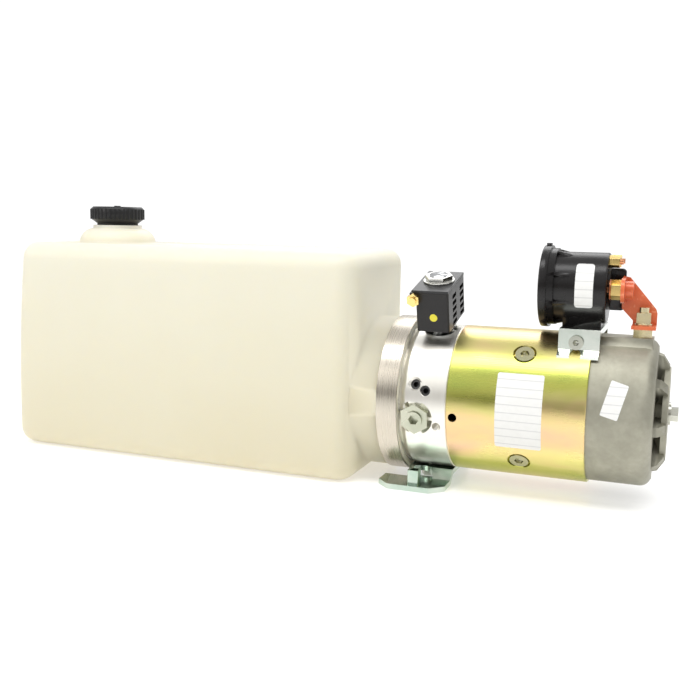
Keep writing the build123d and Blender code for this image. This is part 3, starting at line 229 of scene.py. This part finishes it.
# ---------------------------------------------------------------- finishes
def tank_polyethylene():
    """Natural polyethylene: milky, with painted light and shade that make it lighter at the top and darker and
    warmer towards the bottom, faintly waved by the mould.
    """
    paint = Paint("natural polyethylene")
    # painted light and shade: the tone runs from darker and warmer at the bottom of the tank to lighter at the
    # top
    height = ((paint.z - tank_low.z) * (1 / (tank_high.z - tank_low.z))).clamped()
    clouds = paint.noise(9.0, 3.0)
    tone = paint.ramp((height * 0.75 + clouds * 0.35).clamped(), [
        (0.0, (0.73, 0.65, 0.46)), (0.45, (0.79, 0.73, 0.56)), (1.0, (0.83, 0.79, 0.65))])
    grain = paint.noise(1400.0, 2.0)
    waves = paint.noise(16.0, 2.0)
    skin = paint.bump(grain, 0.00012, 0.35, paint.bump(waves, 0.0016, 0.30))
    return paint.finish(Base_Color=tone, Roughness=0.36 + clouds * 0.16, Normal=skin,
                        Subsurface_Weight=0.45, Subsurface_Radius=(1.0, 0.85, 0.6), Subsurface_Scale=0.012,
                        IOR=1.5, Specular_IOR_Level=0.4)


def moulded(name, colour, rough, grain_size=900.0, depth=0.00008, lift=0.5):
    """Moulded plastic with a fine grain and slightly uneven gloss."""
    paint = Paint(name)
    patches = paint.noise(60.0, 4.0)
    grain = paint.noise(grain_size, 2.0)
    dark = tuple(c * (1 - lift * 0.5) for c in colour)
    light = tuple(min(1.0, c * (1 + lift)) for c in colour)
    return paint.finish(Base_Color=paint.blend(patches, dark, light), Roughness=(rough - 0.08) + patches * 0.16,
                        Normal=paint.bump(grain, depth, 0.6), Specular_IOR_Level=0.35)


def turned_metal(name, colour, rough, lines=2600.0, round_axis="x", depth=0.00002, shade=0.12):
    """Machined metal: fine tool lines round one axis, with slow changes of tone."""
    paint = Paint(name)
    scale = {"x": (lines, 25.0, 25.0), "z": (25.0, 25.0, lines)}[round_axis]
    streaks = paint.noise(1.0, 3.0, where=paint.stretched(*scale))
    clouds = paint.noise(35.0, 3.0)
    dark = tuple(c * (1 - shade) for c in colour)
    light = tuple(min(1.0, c * (1 + shade)) for c in colour)
    tone = paint.blend((streaks * 0.6 + clouds * 0.4).clamped(), dark, light)
    return paint.finish(Base_Color=tone, Metallic=1.0, Roughness=(rough - 0.1) + streaks * 0.2,
                        Normal=paint.bump(streaks, depth, 0.7))


def zinc_plate(name, colour, tint, rough):
    """Zinc plating: bright metal with soft tinted clouds and fine spangle."""
    paint = Paint(name)
    clouds = paint.noise(55.0, 4.0, distortion=0.6)
    spangle = paint.noise(900.0, 2.0)
    tone = paint.blend((clouds * 1.6 - 0.45).clamped(), colour, tint)
    return paint.finish(Base_Color=tone, Metallic=1.0, Roughness=(rough - 0.06) + clouds * 0.12,
                        Normal=paint.bump(spangle, 0.00002, 0.5))


def chromate_shell():
    """Yellow-chromated zinc on rolled tube: gold that drifts to green and rose, with faint rolling lines."""
    paint = Paint("yellow chromate")
    drift = paint.noise(1.0, 3.0, where=paint.stretched(7.0, 22.0, 22.0), distortion=0.8)
    patches = paint.noise(1.0, 4.0, where=paint.stretched(16.0, 40.0, 40.0), distortion=0.5)
    around = (paint.z - shaft_z).angle_to(0.0 - paint.y)
    bands = (around * 4.0 + drift * 5.0).wave() * 0.5 + 0.5
    hue = paint.ramp((bands * 0.55 + patches * 0.55 - 0.05).clamped(), [
        (0.0, (0.36, 0.46, 0.10)), (0.28, (0.56, 0.57, 0.13)), (0.52, (0.74, 0.67, 0.25)),
        (0.76, (0.80, 0.59, 0.30)), (0.9, (0.76, 0.50, 0.34)), (1.0, (0.57, 0.57, 0.20))])
    lines = paint.noise(1.0, 2.0, where=paint.stretched(30.0, 1200.0, 1200.0))
    return paint.finish(Base_Color=hue, Metallic=1.0, Roughness=0.20 + patches * 0.12 + lines * 0.05,
                        Normal=paint.bump(lines, 0.00003, 0.35))


def cast_alloy():
    """As-cast aluminium: matt grey with a pebbled skin and darker blooms."""
    paint = Paint("cast aluminium")
    blooms = paint.noise(28.0, 5.0, distortion=0.4)
    pebbles = paint.noise(650.0, 3.0)
    pits = paint.noise(240.0, 4.0)
    tone = paint.ramp((blooms * 0.8 + pits * 0.25).clamped(), [
        (0.25, (0.25, 0.24, 0.19)), (0.55, (0.37, 0.36, 0.29)), (0.8, (0.50, 0.48, 0.40))])
    skin = paint.bump(pebbles, 0.00010, 0.5, paint.bump(pits, 0.00018, 0.3))
    return paint.finish(Base_Color=tone, Metallic=0.75, Roughness=0.46 + blooms * 0.14, Normal=skin)


def lacquered_copper():
    """Copper bar under a thin orange-red lacquer, worn to bright copper in places."""
    paint = Paint("lacquered copper")
    clouds = paint.noise(70.0, 4.0)
    scuffs = paint.noise(220.0, 5.0, distortion=1.0).above(0.62, 0.08)
    red = paint.blend(clouds, (0.62, 0.10, 0.035), (0.80, 0.19, 0.06))
    return paint.finish(Base_Color=paint.blend(scuffs * 0.5, red, (0.90, 0.38, 0.20)), Metallic=0.25,
                        Roughness=0.32 + clouds * 0.12, Coat_Weight=0.4, Coat_Roughness=0.18,
                        Normal=paint.bump(clouds, 0.0001, 0.4))


def rubber():
    """Matt rubber with a dusty bloom."""
    paint = Paint("rubber")
    bloom = paint.noise(120.0, 4.0)
    return paint.finish(Base_Color=paint.blend(bloom, (0.018, 0.018, 0.018), (0.05, 0.05, 0.048)),
                        Roughness=0.6 + bloom * 0.2, Normal=paint.bump(bloom, 0.0001, 0.4))


def label_film():
    """White film with a soft sheen and faint ruled lines, left bare."""
    paint = Paint("label film")
    fibres = paint.noise(300.0, 3.0)
    film = paint.blend(fibres, (0.80, 0.80, 0.78), (0.88, 0.88, 0.86))
    rules = (paint.z * 1050.0).wave().above(0.93, 0.08)
    return paint.finish(Base_Color=paint.blend(rules * 0.35, film, (0.35, 0.35, 0.36)),
                        Roughness=0.32 + fibres * 0.1, Normal=paint.bump(fibres, 0.00003, 0.3))


def paint_dot():
    """Thick yellow marking paint."""
    paint = Paint("yellow marking paint")
    pools = paint.noise(900.0, 3.0)
    return paint.finish(Base_Color=paint.blend(pools, (0.72, 0.62, 0.02), (0.86, 0.78, 0.06)),
                        Roughness=0.3 + pools * 0.15, Normal=paint.bump(pools, 0.00006, 0.5))


finishes = {
    "tank_plastic": tank_polyethylene(),
    "cap_plastic": moulded("black cap", (0.014, 0.014, 0.015), 0.38),
    "seal_rubber": rubber(),
    "band_steel": turned_metal("brushed band", (0.60, 0.55, 0.47), 0.28, depth=0.00003, shade=0.18),
    "zinc_bolts": zinc_plate("bright zinc", (0.60, 0.59, 0.52), (0.46, 0.49, 0.42), 0.24),
    "manifold_alloy": turned_metal("machined alloy", (0.88, 0.86, 0.80), 0.36, shade=0.06),
    "plug_zinc": zinc_plate("plug zinc", (0.56, 0.56, 0.46), (0.42, 0.45, 0.35), 0.28),
    "valve_steel": turned_metal("ground steel", (0.55, 0.56, 0.57), 0.26, round_axis="z"),
    "spring_steel": turned_metal("spring wire", (0.45, 0.45, 0.46), 0.35),
    "pump_alloy": turned_metal("pump alloy", (0.62, 0.62, 0.60), 0.36),
    "gear_steel": turned_metal("ground gear steel", (0.50, 0.50, 0.51), 0.24),
    "strainer_plastic": moulded("white strainer", (0.80, 0.80, 0.76), 0.5, lift=0.1),
    "bearing_steel": turned_metal("bearing steel", (0.60, 0.60, 0.62), 0.2),
    "foot_zinc": zinc_plate("foot zinc", (0.70, 0.74, 0.68), (0.34, 0.54, 0.42), 0.18),
    "coil_black": moulded("black coil moulding", (0.012, 0.011, 0.011), 0.34, lift=0.4),
    "copper_wire": turned_metal("enamelled wire", (0.60, 0.28, 0.12), 0.35),
    "coil_plate_steel": moulded("black plate", (0.020, 0.020, 0.021), 0.32, lift=0.4),
    "nut_chrome": zinc_plate("bright nut", (0.74, 0.73, 0.69), (0.62, 0.63, 0.60), 0.20),
    "brass": turned_metal("turned brass", (0.84, 0.62, 0.24), 0.24, shade=0.1),
    "copper_studs": turned_metal("coppered stud", (0.80, 0.36, 0.18), 0.28),
    "shell_chromate": chromate_shell(),
    "iron": turned_metal("laminated iron", (0.30, 0.30, 0.31), 0.5),
    "commutator_copper": turned_metal("commutator copper", (0.72, 0.42, 0.26), 0.3),
    "cap_alloy": cast_alloy(),
    "holder_board": moulded("laminate board", (0.36, 0.24, 0.12), 0.6),
    "carbon": moulded("carbon", (0.04, 0.04, 0.04), 0.6),
    "contactor_black": moulded("black case moulding", (0.010, 0.009, 0.009), 0.26, lift=0.4),
    "bus_copper": lacquered_copper(),
    "terminal_plate": zinc_plate("plated terminal", (0.78, 0.66, 0.38), (0.66, 0.62, 0.46), 0.26),
    "bracket_zinc": zinc_plate("bracket zinc", (0.78, 0.79, 0.74), (0.56, 0.66, 0.58), 0.18),
    "label_film": label_film(),
}
# pieces whose own finish differs from the rest of their slot
own_finish = {"set_screws": turned_metal("black oxide steel", (0.10, 0.10, 0.10), 0.34),
              "pole_screws": zinc_plate("chromated screws", (0.50, 0.47, 0.30), (0.34, 0.36, 0.22), 0.24)}


# ---------------------------------------------------------------- pieces that follow the CAD
def body_of(node):
    return frame["nodes"][node]["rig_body"]


def plain_mesh(piece, name):
    """The piece with its modifiers worked into a plain mesh."""
    graph = bpy.context.evaluated_depsgraph_get()
    mesh = bpy.data.meshes.new_from_object(piece.evaluated_get(graph))
    mesh.name = name
    piece.modifiers.clear()
    piece.data = mesh
    return piece


WELD_DISTANCE = 0.003 * MM
SLIVER_LENGTH = 0.001 * MM
ROUND_SLACK = 0.02 * MM
SMALLEST_ROUND = 5.0 * MM
ALONG_AXIS = 0.999
OUT_FROM_AXIS = 0.95


def true_rounds(mesh, axis_z):
    """Gives exact normals to every end face and to every face on a cylinder about the level axis at y 0."""
    normals = [Vector(corner.vector) for corner in mesh.corner_normals]
    for face in mesh.polygons:
        if abs(face.normal.x) > ALONG_AXIS:
            for loop in face.loop_indices:
                normals[loop] = face.normal
            continue
        spokes = [Vector((0.0, mesh.vertices[v].co.y, mesh.vertices[v].co.z - axis_z)) for v in face.vertices]
        reach = [spoke.length for spoke in spokes]
        if max(reach) - min(reach) > ROUND_SLACK or min(reach) < SMALLEST_ROUND:
            continue
        middle = sum(spokes, Vector()).normalized()
        facing = middle.dot(face.normal)
        if abs(facing) < OUT_FROM_AXIS:
            continue
        way = 1.0 if facing > 0 else -1.0
        for loop, spoke in zip(face.loop_indices, spokes):
            normals[loop] = spoke.normalized() * way
    mesh.normals_split_custom_set(normals)


def dressed(node, edge=0.0, crease=30.0):
    """A welded copy of a CAD node with smooth rounds, sharp creases and, where asked, eased edges."""
    mesh = frame["nodes"][node].data.copy()
    shape = bmesh.new()
    shape.from_mesh(mesh)
    bmesh.ops.remove_doubles(shape, verts=shape.verts, dist=WELD_DISTANCE)
    bmesh.ops.dissolve_degenerate(shape, edges=shape.edges, dist=SLIVER_LENGTH)
    shape.to_mesh(mesh)
    shape.free()
    mesh.materials.clear()
    piece = bpy.data.objects.new(node + "_surface", mesh)
    bpy.context.scene.collection.objects.link(piece)
    if edge:
        ease = piece.modifiers.new("eased edges", "BEVEL")
        ease.width = edge
        ease.segments = 2
        ease.limit_method = "ANGLE"
        ease.angle_limit = radians(crease)
        ease.miter_outer = "MITER_ARC"
        plain_mesh(piece, node)
    piece.data.polygons.foreach_set("use_smooth", [True] * len(piece.data.polygons))
    piece.data.set_sharp_from_angle(angle=radians(crease))
    if edge:
        even = piece.modifiers.new("flat faces stay flat", "WEIGHTED_NORMAL")
        even.weight = 90
        even.keep_sharp = True
        plain_mesh(piece, node)
    if node in round_about:
        true_rounds(piece.data, round_about[node])
    piece.data.materials.append(own_finish.get(node, finishes[slot_of[node]]))
    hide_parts(node)
    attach(piece, body_of(node))
    return piece


# the height of the level axis that each of these pieces is round about
round_about = {node: shaft_z for node in ("manifold", "motor_shell", "rear_cap", "clamp_band", "labels")}
round_about.update({node: contactor_z for node in ("contactor_case", "contactor_cover")})
# width of the eased edges in millimetres
eased = {
    "bus_bar": 0.35, "foot_bracket": 0.4, "contactor_bracket": 0.3, "contactor_saddle": 0.3,
    "coil_housing": 0.4, "coil_top_plate": 0.3, "coil_nut": 0.3, "coil_terminal": 0.2,
    "contactor_nuts": 0.3, "terminal_nut": 0.25, "motor_terminal": 0.25, "port_plug": 0.3,
    "end_bolt": 0.25, "clamp_bolt": 0.2, "foot_screws": 0.3, "through_bolts": 0.2,
}
eased_crease = 40.0
plain_crease = 30.0
creases = {"tank_shell": 40.0, "manifold": 20.0, "motor_shell": 20.0}
for node in frame["nodes"]:
    crease_angle = eased_crease if node in eased else creases.get(node, plain_crease)
    dressed(node, eased.get(node, 0.0) * MM, crease_angle)

# springs get meshes of their own; their reach from the fixed end is worked out, but nothing here shortens them
# as their joints move
for deforming in [j for j in record["behaviour"]["joints"] if j.get("deforming_nodes")]:
    spring = deforming["deforming_nodes"][0]
    axis = Vector(deforming["axis"])
    anchor = Vector(spring["fixed_end_m"])
    coils = bpy.data.objects[spring["node"] + "_surface"]
    reach = max(abs((vertex.co - anchor).dot(axis)) for vertex in coils.data.vertices)
    1 - deforming["range_m"][1] / reach
    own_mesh(coils)


# ---------------------------------------------------------------- grip ribs of the filler cap
class Shape:
    """A Geometry Nodes tree written as calls: each call adds one node and hands back its first output."""

    def __init__(self, name, inputs):
        self.tree = bpy.data.node_groups.new(name, "GeometryNodeTree")
        self.tree.interface.new_socket("Geometry", in_out="OUTPUT", socket_type="NodeSocketGeometry")
        self.keys = {}
        for label, kind in inputs:
            made = self.tree.interface.new_socket(label, in_out="INPUT", socket_type=kind)
            self.keys[label] = made.identifier
        self.given = self.tree.nodes.new("NodeGroupInput")

    def put(self, kind, settings=None, **sockets):
        node = self.tree.nodes.new(kind)
        for key, value in (settings or {}).items():
            setattr(node, key, value)
        for key, value in sockets.items():
            entry = next(s for s in node.inputs if s.name == key.replace("_", " ") and s.enabled)
            if isinstance(value, bpy.types.NodeSocket):
                self.tree.links.new(value, entry)
            else:
                entry.default_value = value
        return next(s for s in node.outputs if s.enabled)

    def ask(self, label):
        return self.given.outputs[label]

    def close(self, geometry):
        out = self.tree.nodes.new("NodeGroupOutput")
        self.tree.links.new(geometry, out.inputs[0])

    def grown(self, name, **values):
        """A plain mesh object made by the tree with these input values."""
        seedling = bpy.data.objects.new(name, bpy.data.meshes.new(name))
        bpy.context.scene.collection.objects.link(seedling)
        growth = seedling.modifiers.new("shape", "NODES")
        growth.node_group = self.tree
        for label, value in values.items():
            growth[self.keys[label.replace("_", " ")]] = value
        return plain_mesh(seedling, name)


def rib_ring():
    """Upright round ribs standing in a ring."""
    shape = Shape("rib ring", [("Count", "NodeSocketInt"), ("Ring Radius", "NodeSocketFloat"),
                               ("Rib Radius", "NodeSocketFloat"), ("Rib Length", "NodeSocketFloat"),
                               ("Middle", "NodeSocketVector"), ("Finish", "NodeSocketMaterial")])
    ring = shape.put("GeometryNodeMeshCircle", Vertices=shape.ask("Count"), Radius=shape.ask("Ring Radius"))
    rib = shape.put("GeometryNodeMeshCylinder", Vertices=14, Radius=shape.ask("Rib Radius"),
                    Depth=shape.ask("Rib Length"))
    ribs = shape.put("GeometryNodeInstanceOnPoints", Points=ring, Instance=rib)
    placed = shape.put("GeometryNodeTransform", Geometry=ribs, Translation=shape.ask("Middle"))
    real = shape.put("GeometryNodeRealizeInstances", Geometry=placed)
    shape.close(shape.put("GeometryNodeSetMaterial", Geometry=real, Material=shape.ask("Finish")))
    return shape


grip_low, grip_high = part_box("filler_cap")
grip_r = (grip_high.x - grip_low.x) / 2
grip_length = 9.0 * MM
grip_below_top = 3.2 * MM
grip_rib_sunk = 0.5 * MM
grip_rib_r = 1.2 * MM
grip_middle = ((grip_low.x + grip_high.x) / 2, 0.0, grip_high.z - grip_below_top - grip_length / 2)
ribs = rib_ring().grown("cap_grip", Count=36, Ring_Radius=grip_r - grip_rib_sunk, Rib_Radius=grip_rib_r,
                        Rib_Length=grip_length, Middle=grip_middle, Finish=finishes["cap_plastic"])
ribs.data.polygons.foreach_set("use_smooth", [True] * len(ribs.data.polygons))
ribs.data.set_sharp_from_angle(angle=radians(40))
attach(ribs, body_of("filler_cap"))

# ---------------------------------------------------------------- paint dot on the front of the coil
valve_lean = radians(15)
along = Vector((0.0, -sin(valve_lean), cos(valve_lean)))
back = Vector((0.0, cos(valve_lean), sin(valve_lean)))
dot_x = 9.6 * MM
dot_up = 74.8 * MM
dot_front = 24.32 * MM
dot_r = 3.0 * MM
dot_rim_r = 2.9 * MM
dot_thickness = 0.1 * MM
spot = Vector((dot_x, 0.0, shaft_z)) + along * dot_up - back * dot_front
dot_mesh = bpy.data.meshes.new("coil_dot")
dot_shape = bmesh.new()
turn = Matrix((Vector((1, 0, 0)), along, -back)).transposed().to_4x4()
bmesh.ops.create_cone(dot_shape, cap_ends=True, segments=40, radius1=dot_r, radius2=dot_rim_r,
                      depth=dot_thickness, matrix=Matrix.Translation(spot) @ turn)
dot_shape.to_mesh(dot_mesh)
dot_shape.free()
dot = bpy.data.objects.new("coil_dot", dot_mesh)
bpy.context.scene.collection.objects.link(dot)
dot.data.materials.append(paint_dot())
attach(dot, body_of("coil_housing"))

# ---------------------------------------------------------------- floor, light and camera
FLOOR_GAP = 0.2 * MM


def floor():
    """A pale floor just under the unit's foot."""
    bpy.ops.mesh.primitive_plane_add(size=12)
    ground = bpy.context.object
    ground.name = "floor"
    paint = Paint("pale floor")
    clouds = paint.noise(3.0, 2.0)
    ground.data.materials.append(paint.finish(
        Base_Color=paint.blend(clouds, (0.80, 0.80, 0.80), (0.82, 0.82, 0.82)), Roughness=0.14 + clouds * 0.05,
        Emission_Color=(1.0, 1.0, 1.0), Emission_Strength=0.36))
    ground.location.z = -FLOOR_GAP


def softbox(name, place, target, width, height, power, warmth=(1.0, 1.0, 1.0)):
    """A rectangular soft lamp that faces its target."""
    lamp = bpy.data.lights.new(name, "AREA")
    lamp.shape = "RECTANGLE"
    lamp.size = width
    lamp.size_y = height
    lamp.energy = power
    lamp.color = warmth
    holder = bpy.data.objects.new(name, lamp)
    holder.location = place
    holder.rotation_euler = (Vector(target) - Vector(place)).to_track_quat("-Z", "Y").to_euler()
    bpy.context.scene.collection.objects.link(holder)


def studio_world():
    """White surround with a dimmer strip low down on the camera's side."""
    world = bpy.data.worlds.new("studio")
    bpy.context.scene.world = world
    world.use_nodes = True
    surround = Nodes(world.node_tree)
    way = surround.add("ShaderNodeTexCoord")["Generated"]
    split = surround.add("ShaderNodeSeparateXYZ", sockets={"Vector": way})
    upward = surround.rise(split["Z"], 0.05, 0.45)
    backward = surround.rise(split["Y"], -0.35, 0.1)
    shade = surround.blend(upward.or_more(backward), (0.16, 0.15, 0.13), (1.0, 1.0, 1.0))
    # plain white where the camera sees the surround itself
    seen = surround.add("ShaderNodeLightPath")["Is Camera Ray"]
    colour = surround.blend(seen, shade, (1.45, 1.45, 1.45))
    light = surround.add("ShaderNodeBackground", sockets={"Color": colour, "Strength": 0.74})
    surround.add("ShaderNodeOutputWorld", sockets={"Surface": light["Background"]})


def studio_camera():
    """A camera at standing distance, turned left, tipped a little down and rolled slightly."""
    place = (0.1881, -0.6851, 0.2031)
    yaw, pitch, roll = radians(20.93), radians(7.79), radians(1.03)
    ahead = Vector((-sin(yaw) * cos(pitch), cos(yaw) * cos(pitch), -sin(pitch)))
    right = Vector((cos(yaw), sin(yaw), 0.0))
    up = right.cross(ahead)
    turned_right = cos(roll) * right + sin(roll) * up
    turned_up = cos(roll) * up - sin(roll) * right
    lens = bpy.data.cameras.new("camera")
    lens.sensor_width = 36.0
    lens.lens = 45.42
    lens.shift_y = -0.011
    lens.clip_start = 0.01
    holder = bpy.data.objects.new("camera", lens)
    turn = Matrix((turned_right, turned_up, -ahead)).transposed()
    holder.matrix_world = Matrix.Translation(place) @ turn.to_4x4()
    bpy.context.scene.collection.objects.link(holder)
    bpy.context.scene.camera = holder


floor()
studio_world()
studio_camera()
softbox("overhead", place=(0.05, -0.45, 1.25), target=(0.0, 0.0, 0.05), width=1.6, height=0.35, power=10.0)
softbox("front left", place=(-1.1, -1.3, 0.9), target=(-0.1, 0.0, 0.08), width=0.9, height=0.9, power=6.0,
        warmth=(1.0, 0.98, 0.94))
softbox("back", place=(0.0, 1.4, 1.5), target=(0.0, 0.0, 0.0), width=2.0, height=1.0, power=14.0)
bpy.context.scene.view_settings.view_transform = "Standard"
